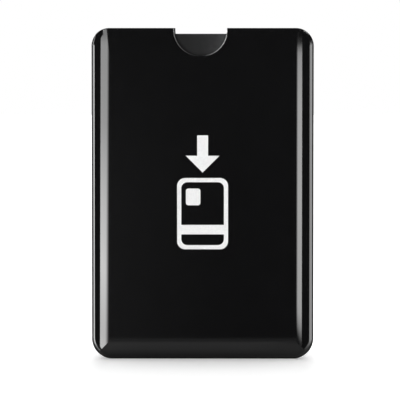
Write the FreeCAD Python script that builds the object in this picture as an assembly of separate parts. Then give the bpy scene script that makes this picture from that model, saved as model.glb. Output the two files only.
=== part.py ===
# Card sleeve with a contactless card in its pocket.
# Two pressed laminate shells, front and back, are bonded round three sides and left open at the top.
# Each shell is a glossy cover, a shielding foil and an inner liner, one inside the other.
# X runs across the sleeve, Y through it with the front face at -Y, and Z up to the mouth.
# The origin is on the bottom edge, midway across the width and the thickness.
# Lengths are in millimetres.

import FreeCAD
import Part

import math
import os

V = FreeCAD.Vector

# Card: the usual identity card size
card_length = 85.60
card_width = 53.98
card_corner_radius = 3.18
front_sheet_web = 0.10
back_sheet_web = 0.26
inlay_web = 0.05

# Contact chip: its plate is flush with the card's front, and its body reaches into the inlay
chip_from_top = 16.20
chip_from_right = 23.90
contact_plate_length = 13.00
contact_plate_width = 11.80
contact_plate_corner_radius = 1.50
contact_plate_thickness = 0.20
chip_body_size = 8.00
chip_body_recess = 0.05

# Antenna: a flat conductor that spirals in round the card, and the bridge that crosses its turns
# Both ends stand off the chip's middle by a share of its body
antenna_turns = 4
antenna_end_share = 0.25
antenna_edge_inset = 3.00
antenna_width = 0.40
antenna_gap = 0.60
antenna_corner_radius = 1.50
antenna_thickness = 0.06
antenna_stud_radius = 0.15

# Magnetic stripe: let into the card's back
stripe_width = 12.70
stripe_edge_inset = 4.00
stripe_thickness = 0.04

# Sleeve: the card with a margin on each side, and the corners of the open end
side_margin = 3.51
bottom_margin = 3.84
mouth_margin = 1.56
sleeve_thickness = 3.60
mouth_corner_radius = 4.90

# Rolled edge: from the flat face over a crease, a shoulder and a rim to the lip
edge_roll_width = 5.00
lip_width = 0.25
crease_width = 1.30
face_corner_radius = 0.65
crease_angle_share = 0.50
shoulder_angle_share = 1.13
rim_angle_share = 3.30

# Laminate, from the outside in, how far the inner layers stay back at the open end's corners, and the bond
# between the two shells
cover_thickness = 0.35
foil_thickness = 0.10
liner_thickness = 0.15
layer_corner_setback = 2.00
bond_thickness = 0.10
bond_inset = 0.10

# Thumb notch, punched in each shell a little to the left of the middle
notch_radius = 7.30
notch_depth = 7.65
front_notch_offset = -0.60
back_notch_offset = -0.20
notch_edge_round = 0.30
edge_pick_share = 0.20

# Clearance between the card and the liner, and how far cutters run past what they cut
card_clearance = 0.15
overrun = 5.00

# Sizes that follow from those above
front_sheet_thickness = contact_plate_thickness + front_sheet_web
inlay_thickness = chip_body_recess + inlay_web + antenna_thickness
back_sheet_thickness = back_sheet_web + stripe_thickness
card_thickness = front_sheet_thickness + inlay_thickness + back_sheet_thickness
sleeve_width = card_width + 2 * side_margin
sleeve_height = card_length + bottom_margin + mouth_margin
half_width = sleeve_width / 2
half_thickness = sleeve_thickness / 2
bottom_corner_radius = edge_roll_width + face_corner_radius
parting = bond_thickness / 2
lip_top = parting + cover_thickness
foil_offset = cover_thickness
liner_offset = foil_offset + foil_thickness
pocket_offset = liner_offset + liner_thickness


def outline_face(start, steps, place):
    """Closed flat face: each step is a point to draw a line to, or a pair (point on the arc, arc's end)."""
    here = start
    edges = []
    for step in steps + [start]:
        if isinstance(step[0], tuple):
            middle, end = step
            edges.append(Part.Arc(place(here), place(middle), place(end)).toShape())
        else:
            end = step
            edges.append(Part.LineSegment(place(here), place(end)).toShape())
        here = end
    return Part.Face(Part.Wire(edges))


def solve_roll():
    """The rolled edge's three tangent arcs, as (radius, centre, first angle, last angle).

    Places are (distance in from the outline, height above the middle plane). Angles are the surface's tilt.
    """
    run = edge_roll_width - lip_width
    fall = half_thickness - lip_top
    mean_slope = math.atan2(fall, run)
    flat = 0.0
    crease = crease_angle_share * mean_slope
    shoulder = shoulder_angle_share * mean_slope
    rim = rim_angle_share * mean_slope
    crease_radius = crease_width / math.sin(crease)
    run_left = run - crease_width
    fall_left = fall - crease_radius * (1 - math.cos(crease))
    shoulder_run = math.sin(shoulder) - math.sin(crease)
    shoulder_fall = math.cos(crease) - math.cos(shoulder)
    rim_run = math.sin(rim) - math.sin(shoulder)
    rim_fall = math.cos(shoulder) - math.cos(rim)
    spread = shoulder_run * rim_fall - shoulder_fall * rim_run
    shoulder_radius = (run_left * rim_fall - fall_left * rim_run) / spread
    rim_radius = (shoulder_run * fall_left - shoulder_fall * run_left) / spread
    arcs = []
    joint = (edge_roll_width, half_thickness)
    for radius, first, last in (
        (crease_radius, flat, crease),
        (shoulder_radius, crease, shoulder),
        (rim_radius, shoulder, rim),
    ):
        centre = (joint[0] + radius * math.sin(first), joint[1] - radius * math.cos(first))
        arcs.append((radius, centre, first, last))
        joint = (centre[0] - radius * math.sin(last), centre[1] + radius * math.cos(last))
    return arcs


ROLL = solve_roll()


def roll_point(arc, angle, offset):
    """The point of a roll arc at a tilt, with the surface moved in by offset."""
    radius, centre, _, _ = arc
    reach = radius - offset
    return (centre[0] - reach * math.sin(angle), centre[1] + reach * math.cos(angle))


def roll_foot(offset):
    """Where the surface at an offset, carried on straight past its last arc, meets the bond."""
    last_arc = ROLL[-1]
    tilt = last_arc[3]
    end = roll_point(last_arc, tilt, offset)
    return (end[0] - (end[1] - parting) / math.tan(tilt), parting)


def roll_height(offset, inward):
    """Height of the surface at an offset above the middle plane, at a distance in from the outline."""
    if inward >= edge_roll_width:
        return half_thickness - offset
    for arc in ROLL:
        radius, centre, _, last = arc
        if inward >= roll_point(arc, last, offset)[0]:
            reach = radius - offset
            return centre[1] + math.sqrt(reach ** 2 - (centre[0] - inward) ** 2)
    return parting


def roll_steps(offset):
    """The three arcs at an offset, from the flat face outwards, as (point on the arc, arc's end) pairs."""
    return [
        (roll_point(arc, (arc[2] + arc[3]) / 2, offset), roll_point(arc, arc[3], offset)) for arc in ROLL
    ]


def roll_section(outer, inner, place):
    """Section of one layer of the rolled edge, between two offsets. The outermost layer has the lip."""
    steps = roll_steps(outer)
    if outer == 0:
        steps += [(0, lip_top), (0, parting)]
    else:
        steps += [roll_foot(outer)]
    inner_points = [(edge_roll_width, half_thickness - inner)]
    for middle, end in roll_steps(inner):
        inner_points += [middle, end]
    steps += [roll_foot(inner), inner_points.pop()]
    while len(inner_points) > 1:
        middle = inner_points.pop()
        steps.append((middle, inner_points.pop()))
    return outline_face((edge_roll_width, half_thickness - outer), steps, place)


def arc_step(centre, radius, first, last):
    """An outline step round a centre, between two angles in degrees from +X towards +Z."""
    def at(angle):
        turn = math.radians(angle)
        return (centre[0] + radius * math.cos(turn), centre[1] + radius * math.sin(turn))

    return (at((first + last) / 2), at(last))


def upright(y):
    """Puts outline points, given as (x, z), in the upright plane at y."""
    return lambda point: V(point[0], y, point[1])


# Cutters at the open end: how far they run through the sleeve, where they start, and their top
trim_depth = sleeve_thickness + 2 * overrun
trim_place = upright(-half_thickness - overrun)
trim_top = sleeve_height + overrun


def corner_trims(setback):
    """What the open end loses at its two corners, moved in by a setback."""
    corner_x = half_width - mouth_corner_radius
    corner_z = sleeve_height - mouth_corner_radius
    radius = mouth_corner_radius - setback
    right = outline_face(
        (corner_x, corner_z + radius),
        [
            arc_step((corner_x, corner_z), radius, 90, 0),
            (half_width + overrun, corner_z),
            (half_width + overrun, trim_top),
            (corner_x, trim_top),
        ],
        trim_place,
    ).extrude(V(0, trim_depth, 0))
    left = right.mirror(V(0, 0, 0), V(1, 0, 0))
    return [right, left]


def notch_trim(offset):
    """What a shell loses at its thumb notch, which lies off the middle by an offset."""
    centre_z = sleeve_height - notch_depth + notch_radius
    notch = outline_face(
        (offset - notch_radius, centre_z),
        [
            arc_step((offset, centre_z), notch_radius, 180, 360),
            (offset + notch_radius, trim_top),
            (offset - notch_radius, trim_top),
        ],
        trim_place,
    )
    return notch.extrude(V(0, trim_depth, 0))


def shell_layer(outer, inner, setback, notch_offset):
    """One layer of a shell, as on the front, between two offsets from its outside, trimmed at the mouth."""
    flat_x = half_width - edge_roll_width
    corner_x = half_width - bottom_corner_radius
    corner_z = bottom_corner_radius
    panel = outline_face(
        (-flat_x, sleeve_height),
        [
            (-flat_x, corner_z),
            arc_step((-corner_x, corner_z), face_corner_radius, 180, 270),
            (corner_x, edge_roll_width),
            arc_step((corner_x, corner_z), face_corner_radius, 270, 360),
            (flat_x, sleeve_height),
        ],
        upright(outer - half_thickness),
    ).extrude(V(0, inner - outer, 0))
    side_section = roll_section(outer, inner, lambda p: V(half_width - p[0], -p[1], corner_z))
    side = side_section.extrude(V(0, 0, sleeve_height - corner_z))
    corner = side_section.revolve(V(corner_x, 0, corner_z), V(0, 1, 0), 90)
    bottom_section = roll_section(outer, inner, lambda p: V(-corner_x, -p[1], p[0]))
    bottom = bottom_section.extrude(V(2 * corner_x, 0, 0))
    mirrored = [piece.mirror(V(0, 0, 0), V(1, 0, 0)) for piece in (side, corner)]
    whole = panel.fuse([side, corner, bottom] + mirrored).removeSplitter()
    return whole.cut(corner_trims(setback) + [notch_trim(notch_offset)]).Solids[0]


def round_notch_edge(cover, notch_offset):
    """Breaks the sharp outer edge of the thumb notch, as the punch does."""
    tiny = notch_edge_round * edge_pick_share
    edges = []
    for edge in cover.Edges:
        box = edge.BoundBox
        on_face = abs(box.YMin + half_thickness) < tiny and abs(box.YMax + half_thickness) < tiny
        reach = max(notch_offset - box.XMin, box.XMax - notch_offset)
        in_notch = reach < notch_radius + tiny
        if on_face and in_notch and box.ZMin > sleeve_height - notch_depth - tiny:
            edges.append(edge)
    return cover.makeFillet(notch_edge_round, edges)


def shell(notch_offset):
    """Cover, foil and liner of a shell, as on the front."""
    cover = shell_layer(0, foil_offset, 0, notch_offset)
    foil = shell_layer(foil_offset, liner_offset, layer_corner_setback, notch_offset)
    liner = shell_layer(liner_offset, pocket_offset, layer_corner_setback, notch_offset)
    return [round_notch_edge(cover, notch_offset), foil, liner]


def to_back(piece):
    """A piece of a shell, turned from the front to the back."""
    return piece.mirror(V(0, 0, 0), V(0, 1, 0))


def side_bond():
    """Bond of the right-hand side, between the two lips and the layers' edges."""
    inner_x = half_width - roll_foot(pocket_offset)[0]
    outer_x = half_width - bond_inset
    strip = Part.makeBox(
        outer_x - inner_x,
        bond_thickness,
        sleeve_height - bottom_corner_radius,
        V(inner_x, -parting, bottom_corner_radius),
    )
    return strip.cut(corner_trims(0))


def bottom_bond():
    """Bond of the bottom edge and its two corners."""
    inner_z = roll_foot(pocket_offset)[0]
    outer_radius = bottom_corner_radius - bond_inset
    inner_radius = bottom_corner_radius - inner_z
    corner_x = half_width - bottom_corner_radius
    left = (-corner_x, bottom_corner_radius)
    right = (corner_x, bottom_corner_radius)
    face = outline_face(
        (-corner_x - outer_radius, bottom_corner_radius),
        [
            arc_step(left, outer_radius, 180, 270),
            (corner_x, bond_inset),
            arc_step(right, outer_radius, 270, 360),
            (corner_x + inner_radius, bottom_corner_radius),
            arc_step(right, inner_radius, 360, 270),
            (-corner_x, inner_z),
            arc_step(left, inner_radius, 270, 180),
        ],
        upright(-parting),
    )
    return face.extrude(V(0, bond_thickness, 0))


# Where the card lies: standing on the bottom margin, and as far back as the rolled edge lets it
card_back = min(
    roll_height(pocket_offset, side_margin),
    roll_height(pocket_offset, bottom_margin),
) - card_clearance
card_front = card_back - card_thickness
inlay_front = card_front + front_sheet_thickness
antenna_front = inlay_front + chip_body_recess + inlay_web
back_sheet_front = inlay_front + inlay_thickness
card_bottom = bottom_margin
card_top = card_bottom + card_length
card_right = card_width / 2
chip_x = card_right - chip_from_right
chip_z = card_top - chip_from_top
antenna_pitch = antenna_width + antenna_gap
antenna_top = card_top - antenna_edge_inset
antenna_start_x = chip_x - chip_body_size * antenna_end_share
antenna_end_x = chip_x + chip_body_size * antenna_end_share


def rounded_plate(middle, width, height, radius, front, back):
    """Plate with rounded corners in the upright plane, between two places through the thickness."""
    x, z = middle
    left, right = x - width / 2, x + width / 2
    low, high = z - height / 2, z + height / 2
    face = outline_face(
        (left, low + radius),
        [
            arc_step((left + radius, low + radius), radius, 180, 270),
            (right - radius, low),
            arc_step((right - radius, low + radius), radius, 270, 360),
            (right, high - radius),
            arc_step((right - radius, high - radius), radius, 0, 90),
            (left + radius, high),
            arc_step((left + radius, high - radius), radius, 90, 180),
        ],
        upright(front),
    )
    return face.extrude(V(0, back - front, 0))


def card_sheet(front, back):
    """A full-size sheet of the card."""
    middle = (0, card_bottom + card_length / 2)
    return rounded_plate(middle, card_width, card_length, card_corner_radius, front, back)


def strip_edge(points, shift):
    """Edges of a path with rounded corners, moved sideways by shift, to the left of the way it runs."""
    radius = antenna_corner_radius
    runs = []
    for here, there in zip(points, points[1:]):
        length = math.dist(here, there)
        runs.append(((there[0] - here[0]) / length, (there[1] - here[1]) / length))
    place = upright(antenna_front)
    edges = []
    last = len(runs) - 1
    for i, (along_x, along_z) in enumerate(runs):
        side_x, side_z = -along_z, along_x
        head = radius if i > 0 else 0
        tail = radius if i < last else 0
        first = (points[i][0] + along_x * head, points[i][1] + along_z * head)
        end = (points[i + 1][0] - along_x * tail, points[i + 1][1] - along_z * tail)
        first_moved = (first[0] + side_x * shift, first[1] + side_z * shift)
        end_moved = (end[0] + side_x * shift, end[1] + side_z * shift)
        edges.append(Part.LineSegment(place(first_moved), place(end_moved)).toShape())
        if i == last:
            continue
        next_x, next_z = runs[i + 1]
        turn = 1 if along_x * next_z - along_z * next_x > 0 else -1
        centre = (end[0] + side_x * radius * turn, end[1] + side_z * radius * turn)
        reach = radius - turn * shift
        corner = points[i + 1]
        out = math.dist(corner, centre)
        middle = tuple(c + (p - c) * reach / out for c, p in zip(centre, corner))
        after = (corner[0] + next_x * radius - next_z * shift, corner[1] + next_z * radius + next_x * shift)
        edges.append(Part.Arc(place(end_moved), place(middle), place(after)).toShape())
    return edges


def antenna_path():
    """Middle line of the antenna: from its outer end, round the card turn by turn, and in to the chip."""
    right = card_right - antenna_edge_inset
    low = card_bottom + antenna_edge_inset
    points = [(antenna_start_x, antenna_top)]
    for turn in range(antenna_turns):
        inset = turn * antenna_pitch
        points += [
            (right - inset, antenna_top - inset),
            (right - inset, low + inset),
            (inset - right, low + inset),
            (inset - right, antenna_top - inset - antenna_pitch),
        ]
    points += [(antenna_end_x, points[-1][1]), (antenna_end_x, chip_z)]
    return points


def card_antenna():
    """The antenna as one flat unbroken strip."""
    half = antenna_width / 2
    points = antenna_path()
    left, right = strip_edge(points, half), strip_edge(points, -half)
    caps = []
    for end in (0, -1):
        ends = [side[end].Vertexes[end].Point for side in (left, right)]
        caps.append(Part.LineSegment(*ends).toShape())
    wire = Part.Wire(Part.__sortEdges__(left + right + caps))
    return Part.Face(wire).extrude(V(0, antenna_thickness, 0))


def antenna_stud(x, z):
    """A stud through the inlay's web, from a lead on its front to the antenna on its back."""
    return Part.makeCylinder(antenna_stud_radius, inlay_web, V(x, antenna_front - inlay_web, z), V(0, 1, 0))


def antenna_bridge():
    """The strip that takes the antenna's outer end across its turns to the chip, with its stud."""
    half = antenna_width / 2
    low = chip_z + chip_body_size / 2
    strip = Part.makeBox(
        antenna_width,
        chip_body_recess,
        antenna_top + half - low,
        V(antenna_start_x - half, inlay_front, low),
    )
    return strip.fuse(antenna_stud(antenna_start_x, antenna_top)).removeSplitter()


def chip_module():
    """The contact plate, the chip's body behind it and the stud to the antenna's inner end."""
    plate = rounded_plate(
        (chip_x, chip_z),
        contact_plate_width,
        contact_plate_length,
        contact_plate_corner_radius,
        card_front,
        card_front + contact_plate_thickness,
    )
    body = Part.makeBox(
        chip_body_size,
        front_sheet_web + chip_body_recess,
        chip_body_size,
        V(chip_x - chip_body_size / 2, card_front + contact_plate_thickness, chip_z - chip_body_size / 2),
    )
    stud = antenna_stud(antenna_end_x, chip_z + antenna_stud_radius)
    return plate.fuse([body, stud]).removeSplitter()


def magnetic_stripe():
    """The stripe down the card's back, let in flush."""
    return Part.makeBox(
        stripe_width,
        stripe_thickness,
        card_length,
        V(card_right - stripe_edge_inset - stripe_width, card_back - stripe_thickness, card_bottom),
    )


def build():
    """Every piece of the sleeve and of its card, by the name of its node."""
    front_cover, front_foil, front_liner = shell(front_notch_offset)
    back_cover, back_foil, back_liner = [to_back(layer) for layer in shell(back_notch_offset)]
    right_bond = side_bond()
    module = chip_module()
    antenna = card_antenna()
    bridge = antenna_bridge()
    stripe = magnetic_stripe()
    return {
        "front_cover": front_cover,
        "front_shield_foil": front_foil,
        "front_liner": front_liner,
        "back_cover": back_cover,
        "back_shield_foil": back_foil,
        "back_liner": back_liner,
        "left_seam_bond": right_bond.mirror(V(0, 0, 0), V(1, 0, 0)),
        "right_seam_bond": right_bond,
        "bottom_seam_bond": bottom_bond(),
        "card_front_sheet": card_sheet(card_front, inlay_front).cut(module),
        "card_inlay": card_sheet(inlay_front, back_sheet_front).cut([module, antenna, bridge]),
        "card_antenna": antenna,
        "card_antenna_bridge": bridge,
        "card_chip_module": module,
        "card_back_sheet": card_sheet(back_sheet_front, card_back).cut(stripe),
        "card_magnetic_stripe": stripe,
    }


os.makedirs("parts", exist_ok=True)
for name, shape in build().items():
    shape.exportStep(f"parts/{name}.step")
    print(f"{name}: {len(shape.Solids)} solid, {shape.Volume:.2f} mm3, valid {shape.isValid()}")
print(f"sleeve {sleeve_width:.2f} x {sleeve_thickness:.2f} x {sleeve_height:.2f}, card front at {card_front:.3f}")
print("roll radii", [round(arc[0], 2) for arc in ROLL], "tilts", [round(math.degrees(arc[3]), 1) for arc in ROLL])
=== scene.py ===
import math

import bpy
import bmesh
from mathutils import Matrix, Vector


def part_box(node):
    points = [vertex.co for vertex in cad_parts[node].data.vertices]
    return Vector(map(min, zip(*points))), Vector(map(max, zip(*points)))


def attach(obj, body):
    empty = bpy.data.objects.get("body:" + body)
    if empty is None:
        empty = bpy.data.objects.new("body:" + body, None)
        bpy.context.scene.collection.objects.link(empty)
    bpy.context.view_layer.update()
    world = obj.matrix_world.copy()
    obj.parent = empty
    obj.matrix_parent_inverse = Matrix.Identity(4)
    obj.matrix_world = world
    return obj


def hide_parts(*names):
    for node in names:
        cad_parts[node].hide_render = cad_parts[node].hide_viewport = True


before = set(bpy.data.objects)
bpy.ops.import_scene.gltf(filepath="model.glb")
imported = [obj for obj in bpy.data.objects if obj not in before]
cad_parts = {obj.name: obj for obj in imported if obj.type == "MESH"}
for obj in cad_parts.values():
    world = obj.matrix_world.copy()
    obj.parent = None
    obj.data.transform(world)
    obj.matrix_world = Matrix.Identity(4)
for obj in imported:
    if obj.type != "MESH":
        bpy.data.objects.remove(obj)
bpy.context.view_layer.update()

# Lengths are in millimetres, and MM turns them into metres.
# X runs across the sleeve, Y through it with the front at -Y, and Z up to the mouth.
MM = 0.001


def in_metres(*lengths):
    """Lengths in millimetres as a tuple of metres."""
    return tuple(length * MM for length in lengths)


# Sizes read from the frame


def node_box(name):
    """Lowest and highest corner of a CAD node, in millimetres."""
    low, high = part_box(name)
    return Vector(low) / MM, Vector(high) / MM


COVER_LOW, COVER_HIGH = node_box("front_cover")
CARD_LOW, CARD_HIGH = node_box("card_front_sheet")
CARD_BACK = node_box("card_back_sheet")[1].y
CHIP_LOW, CHIP_HIGH = node_box("card_chip_module")
STRIPE_LOW = node_box("card_magnetic_stripe")[0]
HALF_WIDTH = COVER_HIGH.x
HEIGHT = COVER_HIGH.z
HALF_THICKNESS = -COVER_LOW.y
PARTING = -COVER_HIGH.y

# Sleeve sizes that no box gives
COVER_THICKNESS = 0.35
LIP_WIDTH = 0.25
LIP_TOP = PARTING + COVER_THICKNESS
EDGE_ROUND = 0.05
BOTTOM_CORNER_RADIUS = 5.65
MOUTH_CORNER_RADIUS = 4.9

# Rolled edge: its width, the crease's part of it, and the slopes at the ends of its three arcs
# as shares of its mean slope
EDGE_ROLL_WIDTH = 5.0
CREASE_WIDTH = 1.3
CREASE_ANGLE_SHARE = 0.5
SHOULDER_ANGLE_SHARE = 1.13
RIM_ANGLE_SHARE = 3.3

# Pressed corners: between these distances in from the outline the roll turns from round to square,
# and between these turns from the side to the mouth it dies away at the mouth's two corners
CORNER_ROUND_REACH = 0.3
CORNER_SQUARE_REACH = 1.6
MOUTH_PRESS_LEFT = math.radians(5), math.radians(75)
MOUTH_PRESS_RIGHT = math.radians(28), math.radians(78)

# Thumb notches: the edge bends over by a width that goes from the left one to the right one within a
# turn of the notch's bottom, and dies away to the last one before the right end
NOTCH_RADIUS = 7.3
NOTCH_DEPTH = 7.65
NOTCH_CENTRE = HEIGHT - NOTCH_DEPTH + NOTCH_RADIUS
FRONT_NOTCH_OFFSET = -0.6
BACK_NOTCH_OFFSET = -0.2
NOTCH_EDGE_ROUND = 0.3
NOTCH_ROLLOVER_LEFT = 0.12
NOTCH_ROLLOVER_RIGHT = 0.2
NOTCH_ROLLOVER_END = 0.06
NOTCH_ROLLOVER_TURN = math.radians(30)
NOTCH_ROLLOVER_FADE = math.radians(25)

# How finely the covers are divided
LIP_PLACES = 0, 0.05, 0.15, 0.3, 0.55, 0.85
RIM_STEPS = 18
SHOULDER_STEPS = 24
CREASE_STEPS = 10
FLANK_STEPS = 26
NOTCH_ROW_STEPS = 22
MOUTH_ROW_STEPS = 2
PANEL_STEPS = 12
CORNER_STEPS = 32
NOTCH_STEPS = 48
EDGE_STEPS = 6

# Card sizes that no box gives
CARD_CORNER_RADIUS = 3.18
CARD_CORNER_STEPS = 16
CARD_EDGE_ROUND = 0.05
CONTACT_PLATE_CORNER_RADIUS = 1.5
CONTACT_PLATE_THICKNESS = 0.2
CONTACT_GROOVE = 0.03

# Camera, from the photograph: where it looks, from how far, and how wide the picture is there
VIEW_AZIMUTH = 0.3
VIEW_ELEVATION = 2.9
VIEW_DISTANCE = 830.0
VIEW_WIDTH = 110.08
VIEW_CENTRE = Vector((-0.725, 0.0, 43.76))
SENSOR_WIDTH = 36.0

# Brightness of the sky in diffuse light, and of the room and its ground in gloss
SKY_LEVEL = 0.75
ROOM_LEVEL = 0.035
GROUND_LEVEL = 0.3

# Range that most of a noise's values lie in
NOISE_RANGE = 0.3, 0.7


# Mesh helpers


def new_object(name, data):
    """An object in the scene for a mesh, a curve or a camera."""
    obj = bpy.data.objects.new(name, data)
    bpy.context.scene.collection.objects.link(obj)
    return obj


def mesh_object(name, points, faces):
    """An object from points in millimetres and faces that index them."""
    mesh = bpy.data.meshes.new(name)
    mesh.from_pydata([tuple(Vector(point) * MM) for point in points], [], faces)
    mesh.validate()
    mesh.update()
    return new_object(name, mesh)


def mend(mesh, weld_distance=None):
    """Turns a closed mesh's faces outward, and first welds its points where a distance is given."""
    work = bmesh.new()
    work.from_mesh(mesh)
    if weld_distance:
        bmesh.ops.remove_doubles(work, verts=work.verts, dist=weld_distance)
    bmesh.ops.recalc_face_normals(work, faces=work.faces)
    work.to_mesh(mesh)
    work.free()


def smooth(obj, sharp_degrees=40):
    """Smooth shading that breaks at sharp edges, with normals that follow the larger faces."""
    mesh = obj.data
    mesh.polygons.foreach_set("use_smooth", [True] * len(mesh.polygons))
    mesh.set_sharp_from_angle(angle=math.radians(sharp_degrees))
    weighted = obj.modifiers.new("weighted_normals", "WEIGHTED_NORMAL")
    weighted.keep_sharp = True
    return obj


def paint(obj, material):
    """Gives an object one material."""
    obj.data.materials.clear()
    obj.data.materials.append(material)
    return obj


def spread(first, last, steps):
    """Evenly spaced values from first to last."""
    return [first + (last - first) * i / steps for i in range(steps + 1)]


def ease(value, low, high):
    """0 up to low, 1 from high on, and a smooth rise between them."""
    share = min(1.0, max(0.0, (value - low) / (high - low)))
    return share * share * (3 - 2 * share)


# The rolled edge


def solve_roll():
    """The edge's three tangent arcs, face to lip, as (radius, centre, first tilt, last tilt)."""
    run = EDGE_ROLL_WIDTH - LIP_WIDTH
    fall = HALF_THICKNESS - LIP_TOP
    mean_slope = math.atan2(fall, run)
    flat = 0.0
    crease = CREASE_ANGLE_SHARE * mean_slope
    shoulder = SHOULDER_ANGLE_SHARE * mean_slope
    rim = RIM_ANGLE_SHARE * mean_slope
    crease_radius = CREASE_WIDTH / math.sin(crease)
    run_left = run - CREASE_WIDTH
    fall_left = fall - crease_radius * (1 - math.cos(crease))
    shoulder_run = math.sin(shoulder) - math.sin(crease)
    shoulder_fall = math.cos(crease) - math.cos(shoulder)
    rim_run = math.sin(rim) - math.sin(shoulder)
    rim_fall = math.cos(shoulder) - math.cos(rim)
    area = shoulder_run * rim_fall - shoulder_fall * rim_run
    shoulder_radius = (run_left * rim_fall - fall_left * rim_run) / area
    rim_radius = (shoulder_run * fall_left - shoulder_fall * run_left) / area
    arcs = []
    joint = (EDGE_ROLL_WIDTH, HALF_THICKNESS)
    for radius, first, last in (
        (crease_radius, flat, crease),
        (shoulder_radius, crease, shoulder),
        (rim_radius, shoulder, rim),
    ):
        centre = (joint[0] + radius * math.sin(first), joint[1] - radius * math.cos(first))
        arcs.append((radius, centre, first, last))
        joint = (centre[0] - radius * math.sin(last), centre[1] + radius * math.cos(last))
    return arcs


ROLL = solve_roll()


def roll_height(inward, offset=0.0):
    """How far from the sleeve's middle plane a cover's surface lies, at a distance in from the outline.

    offset is how far below the outer surface it is taken.
    """
    if inward >= EDGE_ROLL_WIDTH:
        return HALF_THICKNESS - offset
    for radius, centre, _, last in ROLL:
        reach = radius - offset
        end = (centre[0] - reach * math.sin(last), centre[1] + reach * math.cos(last))
        if inward >= end[0]:
            return centre[1] + math.sqrt(reach ** 2 - (centre[0] - inward) ** 2)
    straight = end[1] - (end[0] - inward) * math.tan(last)
    return max(straight, LIP_TOP if offset == 0 else PARTING)


def roll_places():
    """Distances in from the outline where the roll gets a line of points, close where it bends most."""
    places = [LIP_WIDTH * share for share in LIP_PLACES]
    steps_from_rim = RIM_STEPS, SHOULDER_STEPS, CREASE_STEPS
    for (radius, centre, first, last), steps in zip(reversed(ROLL), steps_from_rim):
        tilts = spread(last, first, steps)
        places += [centre[0] - radius * math.sin(tilt) for tilt in tilts[:-1]]
    return places + [EDGE_ROLL_WIDTH, BOTTOM_CORNER_RADIUS]


# The covers: a grid of points over the outline, at its edge and drawn in from it by the edge round


class CoverGrid:
    """Points of a cover's outline, each with a twin drawn in from the cut edges, and their faces."""

    def __init__(self):
        self.index = {}
        self.at_edge = []
        self.drawn_in = []
        self.faces = []

    def point(self, edge, inner):
        """Number of a point, which is added if it is new."""
        key = (round(edge[0], 4), round(edge[1], 4))
        if key not in self.index:
            self.index[key] = len(self.at_edge)
            self.at_edge.append(edge)
            self.drawn_in.append(inner)
        return self.index[key]

    def block(self, rows):
        """Adds a block of faces from rows of (edge point, drawn-in point) pairs."""
        ids = [[self.point(*pair) for pair in row] for row in rows]
        for low, high in zip(ids, ids[1:]):
            for corners in zip(low, low[1:], high[1:], high):
                face = list(dict.fromkeys(corners))
                if len(face) > 2:
                    self.faces.append(face)

    def boundary(self):
        """The outline's points in order."""
        edges = {}
        for face in self.faces:
            for a, b in zip(face, face[1:] + face[:1]):
                edges.setdefault((min(a, b), max(a, b)), []).append((a, b))
        following = dict(pairs[0] for pairs in edges.values() if len(pairs) == 1)
        loop = [next(iter(following))]
        while following[loop[-1]] != loop[0]:
            loop.append(following[loop[-1]])
        return loop


def draw_in(inward):
    """A distance in from the outline, with the edge round added there and nothing past the lip."""
    return inward + EDGE_ROUND * max(0.0, 1 - inward / LIP_WIDTH)


def side_top(inward, radius, top):
    """Height of the mouth's rounded corner at a distance in from the outline."""
    across = max(0.0, MOUTH_CORNER_RADIUS - inward)
    return top - radius + math.sqrt(max(0.0, radius ** 2 - across ** 2))


def notch_rollover(angle):
    """How far in the notch's edge starts to bend, at an angle from its bottom."""
    kept = ease(math.pi / 2 - angle, 0.0, NOTCH_ROLLOVER_FADE)
    rightness = ease(angle, -NOTCH_ROLLOVER_TURN, NOTCH_ROLLOVER_TURN)
    full = NOTCH_ROLLOVER_LEFT + (NOTCH_ROLLOVER_RIGHT - NOTCH_ROLLOVER_LEFT) * rightness
    return NOTCH_ROLLOVER_END + (full - NOTCH_ROLLOVER_END) * kept


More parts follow.
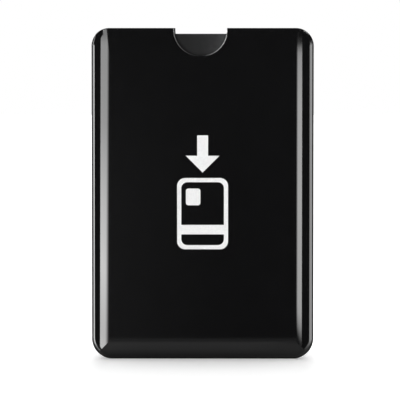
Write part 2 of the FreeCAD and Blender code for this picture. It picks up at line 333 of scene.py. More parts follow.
def cover_grid(notch_offset):
    """The grid of a cover, seen from the front with the mouth up."""
    grid = CoverGrid()
    places = roll_places()
    inner_x = HALF_WIDTH - BOTTOM_CORNER_RADIUS
    base = BOTTOM_CORNER_RADIUS
    top_zone = NOTCH_CENTRE - NOTCH_DEPTH
    below = spread(base, top_zone, FLANK_STEPS) + spread(top_zone, NOTCH_CENTRE, NOTCH_ROW_STEPS)[1:]
    rows = below + spread(NOTCH_CENTRE, HEIGHT, MOUTH_ROW_STEPS)[1:]
    drawn_top = HEIGHT - EDGE_ROUND

    def lifted(z, top, full):
        """A height between the base and full, moved in proportion so that full comes to top."""
        return base + (z - base) * (top - base) / (full - base)

    panels = {}
    for side in (1, -1):
        # The rolled strip up the side, with the mouth's corner at its top
        columns = []
        for place in places:
            drawn = draw_in(place)
            top = side_top(place, MOUTH_CORNER_RADIUS, HEIGHT)
            drawn_corner = side_top(drawn, MOUTH_CORNER_RADIUS - EDGE_ROUND, drawn_top)
            columns.append([
                (
                    (side * (HALF_WIDTH - place), lifted(z, top, HEIGHT)),
                    (side * (HALF_WIDTH - drawn), lifted(z, drawn_corner, HEIGHT)),
                )
                for z in rows
            ])
        grid.block(columns[::-side])
        # The flat panel between that strip and the notch
        drawn_radius = NOTCH_RADIUS + notch_rollover(side * math.pi / 2)
        edge_x = spread(notch_offset + side * NOTCH_RADIUS, side * inner_x, PANEL_STEPS)
        drawn_x = spread(notch_offset + side * drawn_radius, side * inner_x, PANEL_STEPS)
        panels[side] = list(zip(edge_x, drawn_x))
        columns = [
            [((x, z), (dx, lifted(z, drawn_top, HEIGHT) if z > NOTCH_CENTRE else z)) for z in rows]
            for x, dx in panels[side]
        ]
        grid.block(columns[::side])
        # The bottom corner
        corner = []
        for place in places:
            reach, drawn_reach = base - place, base - draw_in(place)
            arc = []
            for angle in spread(0, math.pi / 2, CORNER_STEPS):
                cos, sin = math.cos(angle), math.sin(angle)
                arc.append((
                    (side * (inner_x + reach * cos), base - reach * sin),
                    (side * (inner_x + drawn_reach * cos), base - drawn_reach * sin),
                ))
            corner.append(arc)
        grid.block(corner[::side])
    # The flat panel under the notch
    notch_columns = []
    for angle in spread(-math.pi / 2, math.pi / 2, NOTCH_STEPS):
        sin, cos = math.sin(angle), math.cos(angle)
        drawn_radius = NOTCH_RADIUS + notch_rollover(angle)
        end, drawn_end = NOTCH_CENTRE - NOTCH_RADIUS * cos, NOTCH_CENTRE - drawn_radius * cos
        notch_columns.append([
            (
                (notch_offset + NOTCH_RADIUS * sin, lifted(z, end, NOTCH_CENTRE)),
                (notch_offset + drawn_radius * sin, lifted(z, drawn_end, NOTCH_CENTRE)),
            )
            for z in below
        ])
    grid.block(notch_columns)
    # The rolled strip along the bottom
    middle = [(column[0][0][0], column[0][1][0]) for column in notch_columns]
    bottom = []
    for x, dx in panels[-1][::-1] + middle[1:-1] + panels[1]:
        bottom.append([((x, place), (dx, draw_in(place))) for place in places])
    grid.block(bottom)
    return grid


def inward_distance(x, z):
    """How far in from the outline a cover's point counts as lying, with the corners pressed square."""
    side = HALF_WIDTH - abs(x)
    from_top = HEIGHT - z
    radius = BOTTOM_CORNER_RADIUS
    if side < radius and z < radius:
        inward = radius - math.hypot(radius - side, radius - z)
        return inward + (min(side, z) - inward) * ease(inward, CORNER_ROUND_REACH, CORNER_SQUARE_REACH)
    radius = MOUTH_CORNER_RADIUS
    if side < radius and from_top < radius:
        inward = radius - math.hypot(radius - side, radius - from_top)
        turn = math.atan2(radius - from_top, radius - side)
        pressed = inward + (side - inward) * ease(inward, CORNER_ROUND_REACH, CORNER_SQUARE_REACH)
        fade = MOUTH_PRESS_LEFT if x < 0 else MOUTH_PRESS_RIGHT
        return pressed + (side - pressed) * ease(turn, *fade)
    return min(side, z)


def cover(name, facing, notch_offset, film, edge_highlight_film):
    """One pressed cover as a closed shell with rounded cut edges.

    facing is -1 for the front and 1 for the back.
    """
    grid = cover_grid(notch_offset)
    loop = grid.boundary()
    points = []

    def in_notch(i):
        """Whether a point of the outline lies on the notch's edge."""
        x, z = grid.at_edge[i]
        beside = abs(x - notch_offset) < NOTCH_RADIUS + EDGE_ROUND
        return beside and z > HEIGHT - NOTCH_DEPTH - EDGE_ROUND

    def put(flat, height):
        """Adds a point, and gives its number."""
        points.append((flat[0], facing * height, flat[1]))
        return len(points) - 1

    outer = [put(p, roll_height(inward_distance(*p))) for p in grid.drawn_in]
    inner = [put(p, roll_height(inward_distance(*p), COVER_THICKNESS)) for p in grid.at_edge]
    faces = [[outer[i] for i in face] for face in grid.faces]
    faces += [[inner[i] for i in reversed(face)] for face in grid.faces]
    rings = [[outer[i] for i in loop]]
    for turn in spread(0, math.pi / 2, EDGE_STEPS)[1:]:
        ring = []
        for i in loop:
            start, end = Vector(grid.drawn_in[i]), Vector(grid.at_edge[i])
            radius = min(NOTCH_EDGE_ROUND, (end - start).length)
            height = roll_height(inward_distance(*start)) - radius * (1 - math.cos(turn))
            ring.append(put(start.lerp(end, math.sin(turn)), height))
        rings.append(ring)
    rings.append([inner[i] for i in loop])
    # The notch's cut-edge faces take the second material, which paints a highlight on them.
    edge_highlight_faces = []
    for ring, after in zip(rings, rings[1:]):
        for i in range(len(loop)):
            j = (i + 1) % len(loop)
            if in_notch(loop[i]) and in_notch(loop[j]):
                edge_highlight_faces.append(len(faces))
            faces.append([ring[i], after[i], after[j], ring[j]])
    obj = mesh_object(name, points, faces)
    obj.data.materials.append(film)
    obj.data.materials.append(edge_highlight_film)
    for i in edge_highlight_faces:
        obj.data.polygons[i].material_index = 1
    mend(obj.data)
    return smooth(obj)


# Flat plates from outlines


def rounded_loop(middle, width, height, radii, steps=8):
    """Points of a rectangle round a middle (x, z).

    radii is one radius, or one for each corner, counted from the top right by way of the top left.
    """
    if not isinstance(radii, tuple):
        radii = (radii,) * 4
    loop = []
    for quarter, radius in enumerate(radii):
        turn = quarter * math.pi / 2
        side_x = 1 if quarter in (0, 3) else -1
        side_z = 1 if quarter < 2 else -1
        centre_x = middle[0] + side_x * (width / 2 - radius)
        centre_z = middle[1] + side_z * (height / 2 - radius)
        for angle in spread(turn, turn + math.pi / 2, steps):
            loop.append((centre_x + radius * math.cos(angle), centre_z + radius * math.sin(angle)))
    return loop


def plate(name, loops, front, back, edge_round=0.0, bevel_steps=2, weld_distance=1e-4):
    """A flat upright plate between two places through the thickness. Loops inside another are holes."""
    curve = bpy.data.curves.new(name, "CURVE")
    curve.dimensions = "2D"
    curve.fill_mode = "BOTH"
    curve.extrude = ((back - front) / 2 - edge_round) * MM
    curve.bevel_depth = edge_round * MM
    curve.bevel_resolution = bevel_steps
    curve.offset = -edge_round * MM
    for loop in loops:
        spline = curve.splines.new("POLY")
        spline.points.add(len(loop) - 1)
        for point, (x, z) in zip(spline.points, loop):
            point.co = (x * MM, z * MM, 0, 1)
        spline.use_cyclic_u = True
    source = new_object(name + "_outline", curve)
    shape = source.evaluated_get(bpy.context.evaluated_depsgraph_get())
    mesh = bpy.data.meshes.new_from_object(shape)
    bpy.data.objects.remove(source)
    middle = (front + back) / 2 * MM
    for vertex in mesh.vertices:
        x, z, through = vertex.co
        vertex.co = (x, middle - through, z)
    mend(mesh, weld_distance * MM)
    mesh.name = name
    return new_object(name, mesh)


# Materials


class Nodes:
    """A node tree, and short ways to add and link its nodes. A value is a number or a node's output."""

    def __init__(self, tree):
        self.tree = tree

    def add(self, kind, **values):
        node = self.tree.nodes.new("ShaderNode" + kind)
        for key, value in values.items():
            setattr(node, key, value)
        return node

    def link(self, source, target):
        self.tree.links.new(source, target)

    def feed(self, value, target):
        """Gives an input its value."""
        if isinstance(value, (int, float)):
            target.default_value = value
        else:
            self.link(value, target)

    def place(self, kind="Object"):
        return self.add("TexCoord").outputs[kind]

    def axes(self, place):
        """A place's X, Y and Z, by name."""
        split = self.add("SeparateXYZ")
        self.link(place, split.inputs["Vector"])
        return split.outputs

    def ranged(self, value, before, after=(0.0, 1.0), **options):
        """A value moved from one range into another, and held at that one's ends."""
        node = self.add("MapRange", **options)
        for key, number in zip(("From Min", "From Max", "To Min", "To Max"), (*before, *after)):
            self.feed(number, node.inputs[key])
        self.link(value, node.inputs["Value"])
        return node.outputs["Result"]

    def by_length(self, length, before, after=(0.0, 1.0)):
        """A length moved from a range in millimetres into another range."""
        return self.ranged(length, in_metres(*before), after)

    def combined(self, operation, first, second):
        node = self.add("Math", operation=operation)
        self.feed(first, node.inputs[0])
        self.feed(second, node.inputs[1])
        return node.outputs["Value"]

    def sum(self, first, second):
        return self.combined("ADD", first, second)

    def product(self, first, second):
        return self.combined("MULTIPLY", first, second)

    def larger(self, first, second):
        return self.combined("MAXIMUM", first, second)

    def mixed(self, share, first, second):
        """The first value at a share of 0, the second at 1, and in proportion between them."""
        node = self.add("Mix")
        self.feed(share, node.inputs["Factor"])
        self.feed(first, node.inputs["A"])
        self.feed(second, node.inputs["B"])
        return node.outputs["Result"]


class Shader(Nodes):
    """A material with a principled shader, and short ways to give it colour, roughness and bumps."""

    def __init__(self, name, **values):
        self.material = bpy.data.materials.new(name)
        self.material.use_nodes = True
        super().__init__(self.material.node_tree)
        self.surface = self.tree.nodes["Principled BSDF"]
        self.spot = self.place()
        for key, value in values.items():
            self.surface.inputs[key].default_value = value

    def noise(self, scale, detail=4.0, stretch=(1.0, 1.0, 1.0)):
        """Noise over the object, by features per metre, longer along the axes with a small stretch."""
        mapping = self.add("Mapping")
        mapping.inputs["Scale"].default_value = stretch
        self.link(self.spot, mapping.inputs["Vector"])
        noise = self.add("TexNoise")
        noise.inputs["Scale"].default_value = scale
        noise.inputs["Detail"].default_value = detail
        self.link(mapping.outputs["Vector"], noise.inputs["Vector"])
        return noise.outputs["Fac"]

    def varied(self, noise, low=0.0, high=1.0):
        """Noise moved from its usual range into another."""
        return self.ranged(noise, NOISE_RANGE, (low, high))

    def colours(self, value, dark, light):
        """Colour between two colours, by a value from 0 to 1."""
        node = self.add("Mix", data_type="RGBA")
        node.inputs["A"].default_value = (*dark, 1.0)
        node.inputs["B"].default_value = (*light, 1.0)
        self.link(value, node.inputs["Factor"])
        self.link(node.outputs["Result"], self.surface.inputs["Base Color"])

    def rough(self, value):
        self.link(value, self.surface.inputs["Roughness"])

    def bump(self, value, depth):
        """Bumps of a depth in millimetres."""
        node = self.add("Bump")
        node.inputs["Distance"].default_value = depth * MM
        self.link(value, node.inputs["Height"])
        self.link(node.outputs["Normal"], self.surface.inputs["Normal"])


def cover_material():
    """Gloss black film, with a faint ripple from the press, hairline scratches and a little haze."""
    shader = Shader("gloss_black_film", IOR=1.5)
    ripple = shader.noise(scale=70, detail=2)
    haze = shader.noise(scale=260, detail=5)
    scratches = shader.noise(scale=500, detail=3, stretch=(8.0, 8.0, 0.25))
    lines = shader.ranged(scratches, (0.62, 0.75), (0.0, 0.04))
    shader.colours(shader.varied(haze), dark=(0.0034, 0.0034, 0.0036), light=(0.0042, 0.0042, 0.0045))
    shader.rough(shader.sum(shader.varied(haze, 0.025, 0.045), lines))
    shader.bump(ripple, depth=0.002)
    return shader.material


def notch_edge_highlight_material():
    """The film at the notch's cut edge, with a painted highlight: pale on the right of the notch,
    fainter on the left and dark at its bottom.
    """
    right_rise = 0.5, 5.0
    left_rise = -1.5, -7.7
    left_share = 0.45
    shader = Shader("notch_edge_painted_highlight")
    across = shader.axes(shader.spot)["X"]
    # The colour is a painted highlight, set by the side of the notch.
    right = shader.by_length(across, right_rise)
    left = shader.by_length(across, left_rise, (0.0, left_share))
    edge_noise = shader.noise(scale=900, detail=3)
    painted_edge_light = shader.product(shader.sum(right, left), shader.varied(edge_noise, 0.75, 1.1))
    shader.colours(painted_edge_light, dark=(0.005, 0.005, 0.005), light=(0.42, 0.42, 0.42))
    shader.rough(shader.varied(edge_noise, 0.25, 0.4))
    shader.bump(edge_noise, depth=0.004)
    return shader.material


def print_material():
    """White screen ink, slightly uneven and a little rough."""
    shader = Shader("white_screen_ink")
    grain = shader.noise(scale=2600, detail=3)
    shader.colours(shader.varied(grain), dark=(0.76, 0.76, 0.76), light=(0.86, 0.86, 0.855))
    shader.rough(shader.varied(grain, 0.42, 0.58))
    shader.bump(grain, depth=0.003)
    return shader.material


def foil_material():
    """Bright foil, rolled lengthwise."""
    shader = Shader("shield_foil", Metallic=1.0)
    rolled = shader.noise(scale=900, detail=4, stretch=(6.0, 6.0, 0.2))
    shader.colours(shader.varied(rolled), dark=(0.55, 0.56, 0.58), light=(0.74, 0.75, 0.77))
    shader.rough(shader.varied(rolled, 0.22, 0.4))
    shader.bump(rolled, depth=0.002)
    return shader.material


def film_material(name, dark, light, rough, scale=1800, refraction=1.5, depth=0.004):
    """Plastic film with a fine grain. rough is its lowest and highest roughness."""
    shader = Shader(name, IOR=refraction)
    grain = shader.noise(scale, detail=5)
    shader.colours(shader.varied(grain), dark, light)
    shader.rough(shader.varied(grain, *rough))
    shader.bump(grain, depth)
    return shader.material


def card_face_material():
    """Satin film with a fine grain, and painted light where the notch lies over it: a painted gradient,
    dark on the left and paler to the right, and a painted glow just inside the notch's right rim.
    """
    patch_rise = -7.5, 6.0
    patch_fall = 7.0, 15.0
    patch_foot = 74.0, 83.0
    rim_rise = 4.8, NOTCH_RADIUS
    rim_fall = NOTCH_RADIUS, 13.0
    rim_side = 0.0, 6.5
    patch_share, rim_share, grain_share = 0.19, 0.34, 0.025
    shader = Shader("card_face_film", IOR=1.3)
    axes = shader.axes(shader.spot)
    # A painted gradient near the card's top, where the notch lies: paler to the right.
    rise = shader.by_length(axes["X"], patch_rise)
    fall = shader.by_length(axes["X"], patch_fall, (patch_share, 0.0))
    patch = shader.product(shader.product(rise, rise), fall)
    patch = shader.product(patch, shader.by_length(axes["Z"], patch_foot))
    # A painted glow in a ring along the notch's rim, on its right side only.
    from_centre = shader.add("VectorMath", operation="DISTANCE")
    from_centre.inputs[1].default_value = in_metres(FRONT_NOTCH_OFFSET, CARD_LOW.y, NOTCH_CENTRE)
    shader.link(shader.spot, from_centre.inputs[0])
    reach = from_centre.outputs["Value"]
    rim = shader.by_length(reach, rim_rise, (0.0, rim_share))
    rim = shader.product(rim, shader.by_length(reach, rim_fall, (1.0, 0.0)))
    rim = shader.product(rim, shader.by_length(axes["X"], rim_side))
    card_light_noise = shader.noise(scale=700, detail=4)
    painted_card_light = shader.product(shader.sum(patch, rim), shader.varied(card_light_noise, 0.7, 1.3))
    grain = shader.noise(scale=3200, detail=5)
    tone = shader.sum(shader.varied(grain, 0.0, grain_share), painted_card_light)
    shader.colours(tone, dark=(0.0045, 0.0047, 0.005), light=(0.11, 0.112, 0.115))
    shader.rough(shader.varied(grain, 0.42, 0.55))
    shader.bump(grain, depth=0.004)
    return shader.material


def signing_panel_material():
    """Pale paper-like coating, printed with fine slanting lines."""
    shader = Shader("signing_panel")
    turned = shader.add("Mapping")
    turned.inputs["Rotation"].default_value = (0, math.radians(35), 0)
    shader.link(shader.spot, turned.inputs["Vector"])
    lines = shader.add("TexWave", bands_direction="X")
    lines.inputs["Scale"].default_value = 260
    lines.inputs["Distortion"].default_value = 0.6
    shader.link(turned.outputs["Vector"], lines.inputs["Vector"])
    grain = shader.noise(scale=2600, detail=4)
    bare = shader.ranged(lines.outputs["Fac"], (0.1, 0.5), (-0.2, 0.75))
    tone = shader.sum(bare, shader.varied(grain, 0.0, 0.25))
    shader.colours(tone, dark=(0.36, 0.38, 0.4), light=(0.72, 0.72, 0.7))
    shader.rough(shader.varied(grain, 0.6, 0.75))
    shader.bump(grain, depth=0.003)
    return shader.material


def contact_material():
    """Gold plate, brushed across."""
    shader = Shader("gold_contacts", Metallic=1.0)
    brushed = shader.noise(scale=2400, detail=4, stretch=(0.3, 5.0, 5.0))
    shader.colours(shader.varied(brushed), dark=(0.6, 0.42, 0.17), light=(0.72, 0.53, 0.24))
    shader.rough(shader.varied(brushed, 0.38, 0.48))
    shader.bump(brushed, depth=0.0008)
    return shader.material


# Sleeve pieces


def add_covers():
    """The two shells, each in the place of its CAD cover."""
    # The second material paints a highlight on the notch's cut edge.
    film, edge_highlight_film = cover_material(), notch_edge_highlight_material()
    for name, node, facing, notch_offset in (
        ("front_shell", "front_cover", -1, FRONT_NOTCH_OFFSET),
        ("back_shell", "back_cover", 1, BACK_NOTCH_OFFSET),
    ):
        piece = cover(name, facing, notch_offset, film, edge_highlight_film)
        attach(piece, "sleeve")
        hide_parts(node)


def add_print():
    """The printed sign: a card with a chip and a stripe, and an arrow that shows the way in."""
    ink = print_material()
    film = 0.02
    face = -HALF_THICKNESS
    card_z = 40.1
    card_width, card_height, card_corner = 14.0, 19.6, 2.2
    stroke = 1.15
    stripe_drop, stripe_height = 5.7, 2.6
    chip_x, chip_rise = -2.6, 4.6
    chip_width, chip_height, chip_corner = 4.0, 4.6, 0.7
    arrow_gap, arrow_height = 1.5, 10.2
    head, half_shaft = 4.6, 1.5
    round_corner, tight_corner = card_corner - stroke / 2, 0.2
    half_window = card_height / 2 - stroke
    stripe_bottom = card_z - stripe_drop
    sign = [rounded_loop((0, card_z), card_width, card_height, card_corner)]
    for bottom, top, upper, lower in (
        (stripe_bottom + stripe_height, card_z + half_window, round_corner, tight_corner),
        (card_z - half_window, stripe_bottom, tight_corner, round_corner),
    ):
        radii = (upper, upper, lower, lower)
        sign.append(rounded_loop((0, (bottom + top) / 2), card_width - 2 * stroke, top - bottom, radii))
    chip = rounded_loop((chip_x, card_z + chip_rise), chip_width, chip_height, chip_corner)
    tip = card_z + card_height / 2 + arrow_gap
    arrow = [
        (0, tip),
        (head, tip + head),
        (half_shaft, tip + head),
        (half_shaft, tip + arrow_height),
        (-half_shaft, tip + arrow_height),
        (-half_shaft, tip + head),
        (-head, tip + head),
    ]
    for name, loops in (("print_card", sign), ("print_chip", [chip]), ("print_arrow", [arrow])):
        piece = paint(plate(name, loops, face - film, face), ink)
        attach(piece, "sleeve")


# Card pieces


def add_card():
    """The card's front sheet, its chip with the contacts, and the signing panel on its back."""
    front = CARD_LOW.y
    width, height = CARD_HIGH.x - CARD_LOW.x, CARD_HIGH.z - CARD_LOW.z
    middle_z = (CARD_LOW.z + CARD_HIGH.z) / 2
    outline = rounded_loop((0, middle_z), width, height, CARD_CORNER_RADIUS, CARD_CORNER_STEPS)
    chip_middle = ((CHIP_LOW.x + CHIP_HIGH.x) / 2, (CHIP_LOW.z + CHIP_HIGH.z) / 2)
    chip_width, chip_height = CHIP_HIGH.x - CHIP_LOW.x, CHIP_HIGH.z - CHIP_LOW.z
    recess = rounded_loop(chip_middle, chip_width, chip_height, CONTACT_PLATE_CORNER_RADIUS)
    face = plate("card_face", [outline, recess], front, CARD_HIGH.y, CARD_EDGE_ROUND)
    # The card face's material paints a gradient and a glow where the notch lies.
    smooth(paint(face, card_face_material()))
    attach(face, "card")
    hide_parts("card_front_sheet")

    base = plate("chip_base", [recess], front + CONTACT_GROOVE, front + CONTACT_PLATE_THICKNESS)
    epoxy = film_material("chip_epoxy", (0.05, 0.045, 0.03), (0.08, 0.072, 0.05), rough=(0.45, 0.6))
    paint(base, epoxy)
    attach(base, "card")
    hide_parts("card_chip_module")

    contacts = contact_pads(chip_middle, chip_width, chip_height)
    pads = plate("chip_pads", contacts, front, front + 2 * CONTACT_GROOVE, CONTACT_GROOVE / 3)
    smooth(paint(pads, contact_material()))
    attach(pads, "card")

    panel_width, panel_height, panel_corner = 9.5, 52.0, 0.6
    panel_gap, panel_film = 6.0, 0.012
    panel_middle = (STRIPE_LOW.x - panel_gap - panel_width / 2, middle_z)
    coated = rounded_loop(panel_middle, panel_width, panel_height, panel_corner)
    panel = plate("card_signing_panel", [coated], CARD_BACK, CARD_BACK + panel_film)
    paint(panel, signing_panel_material())
    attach(panel, "card")


def contact_pads(middle, width, height):
    """Outlines of the contacts: four down each side, and one between them from top to bottom."""
    border, gap = 0.3, 0.34
    corner, tight = 1.2, 0.25
    rows, column_share = 4, 0.34
    inner_width, inner_height = width - 2 * border, height - 2 * border
    column = (inner_width - 2 * gap) * column_share
    pitch = (inner_height + gap) / rows
    top = middle[1] + height / 2 - border
    pads = [rounded_loop(middle, inner_width - 2 * gap - 2 * column, inner_height, tight)]
    for side in (1, -1):
        x = middle[0] + side * (width / 2 - border - column / 2)
        for row in range(rows):
            z = top - row * pitch - (pitch - gap) / 2
            radii = [tight] * 4
            if row == 0:
                radii[0 if side > 0 else 1] = corner
            if row == rows - 1:
                radii[3 if side > 0 else 2] = corner
            pads.append(rounded_loop((x, z), column, pitch - gap, tuple(radii)))
    return pads


def paint_nodes():
    """Materials for the CAD nodes that show as they are."""
    foil = foil_material()
    liner = film_material("liner_film", (0.014, 0.014, 0.015), (0.03, 0.03, 0.032), rough=(0.4, 0.6))
    bond = film_material("bond_film", (0.006, 0.006, 0.006), (0.014, 0.014, 0.014), rough=(0.35, 0.5))
    core = film_material("card_core", (0.42, 0.42, 0.41), (0.5, 0.5, 0.49), rough=(0.5, 0.65))
    sheet = film_material(
        "card_sheet", (0.0045, 0.0047, 0.005), (0.007, 0.0073, 0.0077), rough=(0.42, 0.55),
        scale=3200, refraction=1.3,
    )
    stripe = film_material(
        "stripe_oxide", (0.011, 0.009, 0.008), (0.015, 0.012, 0.011), rough=(0.3, 0.36),
        scale=3200, depth=0.0003,
    )
    for material, names in (
        (foil, ("front_shield_foil", "back_shield_foil", "card_antenna", "card_antenna_bridge")),
        (liner, ("front_liner", "back_liner")),
        (bond, ("left_seam_bond", "right_seam_bond", "bottom_seam_bond")),
        (sheet, ("card_back_sheet",)),
        (core, ("card_inlay",)),
        (stripe, ("card_magnetic_stripe",)),
    ):
        for name in names:
            paint(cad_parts[name], material)


# Stage: camera, world, floor and lamps


def add_camera():
    """The camera, which sees the object as the photograph does."""
    azimuth, elevation = math.radians(VIEW_AZIMUTH), math.radians(VIEW_ELEVATION)
    back = Vector((
        math.sin(azimuth) * math.cos(elevation),
        -math.cos(azimuth) * math.cos(elevation),
        math.sin(elevation),
    ))
    data = bpy.data.cameras.new("camera")
    data.sensor_width = SENSOR_WIDTH
    data.lens = SENSOR_WIDTH * VIEW_DISTANCE / VIEW_WIDTH
    data.clip_start, data.clip_end = 0.01, 20.0
    camera = new_object("camera", data)
    camera.location = (VIEW_CENTRE + back * VIEW_DISTANCE) * MM
    camera.rotation_mode = "QUATERNION"
    camera.rotation_quaternion = (-back).to_track_quat("-Z", "Y")
    bpy.context.scene.camera = camera


def add_world():
    """White behind the object, a plain sky in diffuse light, a dark room on a pale ground in gloss."""
    ground_top, room_bottom = (-math.sin(math.radians(angle)) for angle in (20, 9))
    world = bpy.data.worlds.new("studio")
    bpy.context.scene.world = world
    world.use_nodes = True
    nodes = Nodes(world.node_tree)
    background = world.node_tree.nodes["Background"]
    background.inputs["Color"].default_value = (1, 1, 1, 1)
    up = nodes.axes(nodes.place("Generated"))["Z"]
    levels = GROUND_LEVEL, ROOM_LEVEL
    room = nodes.ranged(up, (ground_top, room_bottom), levels, interpolation_type="SMOOTHSTEP")
    path = nodes.add("LightPath").outputs
    lit = nodes.mixed(path["Is Glossy Ray"], SKY_LEVEL, room)
    nodes.link(nodes.mixed(path["Is Camera Ray"], lit, 1.0), background.inputs["Strength"])


def stage_material(name):
    """A material for a stage object, and its nodes, of which it has none yet."""
    material = bpy.data.materials.new(name)
    material.use_nodes = True
    material.node_tree.nodes.clear()
    return material, Nodes(material.node_tree)


def add_floor():
    """A pale floor, white to the camera where it is lit. Gloss sees it only near the object.

    Its soft shade is partly real, from the sky and lamps, and partly painted: ambient occlusion darkens
    its colour near the object, and the wide part of that painted shade ends at the sleeve's sides. To
    the camera its colour is painted lighter behind the object and beside the sleeve, which clears the
    shade there, and to gloss it is painted darker right beside the object.
    """
    half = 3000.0
    side_edge = 27.5, 31.5
    side_levels = 1.0, 1.12
    rear_rise = 0.0, 25.0
    seen_levels = 1.06 / SKY_LEVEL, 1.3 / SKY_LEVEL
    mirror_rise = 1.5, 6.0
    mirror_levels = 0.6, 0.95
    wide_reach, wide_shade = 35.0, 0.7
    touch_reach, touch_shade = 6.0, 0.82
    shadow_edge = 70.0, 110.0
    near_edge = 14.0, 46.0
    far_edge = 56.0, 66.0
    near_share, far_share = 0.7, 0.3
    right_edge = 12.0, 36.0
    left_edge = -26.0, -31.0

    corners = [(-half, -half, 0), (half, -half, 0), (half, half, 0), (-half, half, 0)]
    floor = mesh_object("floor", corners, [(0, 1, 2, 3)])
    material, nodes = stage_material("pale_floor")
    axes = nodes.axes(nodes.place())
    path = nodes.add("LightPath").outputs

    def distance(axis):
        node = nodes.add("Math", operation="ABSOLUTE")
        nodes.link(axes[axis], node.inputs[0])
        return node.outputs["Value"]

    def openness(reach, shade):
        """Painted shade for the floor's colour: 1 where nothing within reach stands over the floor,
        down to shade where it is all covered.
        """
        node = nodes.add("AmbientOcclusion", samples=16)
        node.inputs["Distance"].default_value = reach * MM
        return nodes.ranged(node.outputs["AO"], (0.0, 1.0), (shade, 1.0))

    across, ahead = distance("X"), distance("Y")
    # To the camera the colour is painted lighter behind the object and beside the sleeve's sides.
    seen = nodes.by_length(axes["Y"], rear_rise, seen_levels)
    seen = nodes.product(seen, nodes.by_length(across, side_edge, side_levels))
    # To gloss the colour is painted darker right beside the object.
    mirrored = nodes.by_length(ahead, mirror_rise, mirror_levels)
    level = nodes.mixed(path["Is Camera Ray"], mirrored, seen)
    # Ambient occlusion darkens the colour as painted shade; its wide part fades out at the sleeve's
    # sides, and all of it fades out far from the object.
    wide = nodes.mixed(nodes.by_length(across, side_edge), openness(wide_reach, wide_shade), 1.0)
    shadow = nodes.product(wide, openness(touch_reach, touch_shade))
    for away in (across, ahead):
        shadow = nodes.larger(shadow, nodes.by_length(away, shadow_edge))
    diffuse = nodes.add("BsdfDiffuse")
    nodes.link(nodes.product(level, shadow), diffuse.inputs["Color"])

    near = nodes.by_length(ahead, near_edge, (0.0, near_share))
    far = nodes.by_length(ahead, far_edge, (0.0, far_share))
    right = nodes.by_length(axes["X"], right_edge)
    left = nodes.by_length(axes["X"], left_edge)
    outside = nodes.larger(nodes.sum(near, far), nodes.larger(left, right))
    surface = nodes.add("MixShader")
    nodes.link(nodes.product(outside, path["Is Glossy Ray"]), surface.inputs["Fac"])
    nodes.link(diffuse.outputs["BSDF"], surface.inputs[1])
    nodes.link(nodes.add("BsdfTransparent").outputs["BSDF"], surface.inputs[2])
    nodes.link(surface.outputs["Shader"], nodes.add("OutputMaterial").inputs["Surface"])
    floor.data.materials.append(material)


def add_softbox(
    name, start, end, levels, fades=(None, None), leans=(0.0, 0.0), drops=(0.0, 0.0), gloss_only=False
):
    """An upright lamp panel between two places (x, y), seen as light and in gloss, or in gloss alone.

    levels are its (height, brightness) pairs from the bottom up. fades are the lengths over which it
    fades in at its start and out at its end, each as a pair for its bottom and its top. leans are how
    far on the tops of those two edges lie. drops are how far its bottom and its top edge run down
    towards its end. Its light adds to what is seen through it, and the camera doesn't see it.
    """
    low, high = levels[0][0], levels[-1][0]
    length = math.dist(start, end)
    direction = (Vector(end) - Vector(start)) / length
    top_start, top_end = (Vector(foot) + direction * lean for foot, lean in zip((start, end), leans))
    corners = [(*start, low + drops[0]), (*end, low), (*top_end, high - drops[1]), (*top_start, high)]
    panel = mesh_object(name, corners, [(0, 1, 2, 3)])
    material, nodes = stage_material(name)
    place = nodes.place()
    from_start = nodes.add("VectorMath", operation="SUBTRACT")
    from_start.inputs[1].default_value = (*in_metres(*start), 0)
    nodes.link(place, from_start.inputs[0])
    dot = nodes.add("VectorMath", operation="DOT_PRODUCT")
    dot.inputs[1].default_value = (*direction, 0)
    nodes.link(from_start.outputs["Vector"], dot.inputs[0])
    along = dot.outputs["Value"]
    bottom = nodes.ranged(along, (0.0, length * MM), in_metres(low + drops[0], low))
    height = nodes.ranged(nodes.axes(place)["Z"], (bottom, high * MM))

    def slanted(at_bottom, at_top):
        """A length that goes evenly from one value at the panel's bottom to another at its top."""
        return nodes.ranged(height, (0.0, 1.0), in_metres(at_bottom, at_top), clamp=False)

    brightest = max(level for _, level in levels)
    ramp = nodes.add("ValToRGB")
    stops = ramp.color_ramp.elements
    while len(stops) < len(levels):
        stops.new(0.5)
    for stop, (z, level) in zip(stops, levels):
        stop.position = (z - low) / (high - low)
        shade = level / brightest
        stop.color = (shade, shade, shade, 1)
    nodes.link(height, ramp.inputs["Fac"])
    light = ramp.outputs["Color"]
    for edge, inward, fade, lean in zip((0.0, length), (1, -1), fades, leans):
        if fade:
            dark = slanted(edge, edge + lean)
            full = slanted(edge + inward * fade[0], edge + lean + inward * fade[1])
            rise = nodes.ranged(along, (dark, full), interpolation_type="SMOOTHSTEP")
            light = nodes.product(light, rise)
    emission = nodes.add("Emission")
    nodes.link(nodes.product(light, brightest), emission.inputs["Strength"])
    surface = nodes.add("AddShader")
    nodes.link(emission.outputs["Emission"], surface.inputs[0])
    nodes.link(nodes.add("BsdfTransparent").outputs["BSDF"], surface.inputs[1])
    nodes.link(surface.outputs["Shader"], nodes.add("OutputMaterial").inputs["Surface"])
    panel.data.materials.append(material)
    panel.visible_camera = False
    panel.visible_shadow = False
    panel.visible_diffuse = not gloss_only


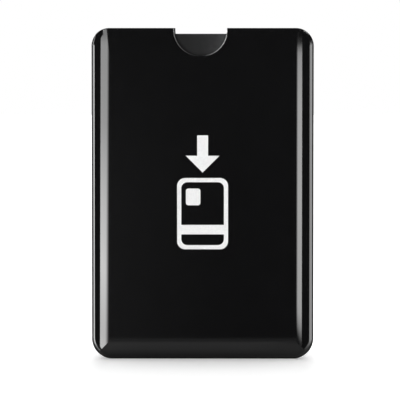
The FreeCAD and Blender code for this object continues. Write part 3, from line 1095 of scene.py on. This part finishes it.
def add_lamps():
    """Two softboxes in front and a strip at each side, which light the object and show in its gloss.

    The left softbox's glow, the strips' upper ends and the two softboxes behind show in gloss alone.
    """
    front, side, rear, gap = -700.0, 600.0, 700.0, 5.0
    add_softbox(
        "left_softbox", start=(-491, front), end=(-150, front),
        levels=(
            (-260, 12.0), (-75, 12.5), (-66, 11.3), (-57, 11.8), (-31, 14.3), (5, 11.7), (47, 7.5),
            (80, 6.8), (88.5, 6.8), (90.5, 4.8), (94, 4.4), (118, 4.2),
        ),
        fades=(None, (286, 100)), leans=(102, 109), drops=(0, 38),
    )
    add_softbox(
        "left_glow", start=(-140, front + gap), end=(20, front + gap),
        levels=((-90, 0.2), (20, 0.2), (80, 0.05), (110, 0.03)),
        fades=(None, (160, 160)), gloss_only=True,
    )
    add_softbox(
        "right_softbox", start=(71, front), end=(309, front),
        levels=(
            (-70, 0.3), (-61, 6.0), (-55, 8.2), (5, 9.0), (55, 8.6), (79, 7.0), (84.5, 6.0),
            (87, 0.4), (87.5, 0.0),
        ),
        fades=((92, 92), None), drops=(13, 0),
    )
    add_softbox(
        "left_strip", start=(-side, 130), end=(-side, -240),
        levels=((-650, 0.0), (-535, 2.2), (-295, 7.0), (-120, 16.0), (114, 16.0)),
        fades=((360, 360), None),
    )
    add_softbox(
        "right_strip", start=(side, -560), end=(side, 30),
        levels=((-650, 0.0), (-400, 0.3), (-226, 1.5), (-150, 3.5), (-90, 6.0), (104, 6.0)),
    )
    add_softbox(
        "right_strip_end", start=(side, -380), end=(side, 30),
        levels=((104, 6.0), (150, 3.5), (190, 1.2), (235, 0.0)),
        gloss_only=True,
    )
    add_softbox(
        "upper_left_strip", start=(-side, 90), end=(-side, -5),
        levels=((114, 12.0), (215, 5.0), (300, 2.7), (405, 1.5), (800, 1.5)),
        gloss_only=True,
    )
    add_softbox(
        "upper_right_strip", start=(side, -5), end=(side, 60),
        levels=((104, 3.0), (300, 0.5)),
        gloss_only=True,
    )
    rear_levels, rear_fade = ((-90, 6.0), (260, 6.0)), (120, 120)
    add_softbox(
        "rear_right_softbox", start=(430, rear), end=(110, rear),
        levels=rear_levels, fades=(None, rear_fade), gloss_only=True,
    )
    add_softbox(
        "rear_left_softbox", start=(-110, rear), end=(-380, rear),
        levels=rear_levels, fades=(rear_fade, None), gloss_only=True,
    )


bpy.context.scene.view_settings.view_transform = "Standard"
add_covers()
add_print()
add_card()
paint_nodes()
add_camera()
add_world()
add_floor()
add_lamps()
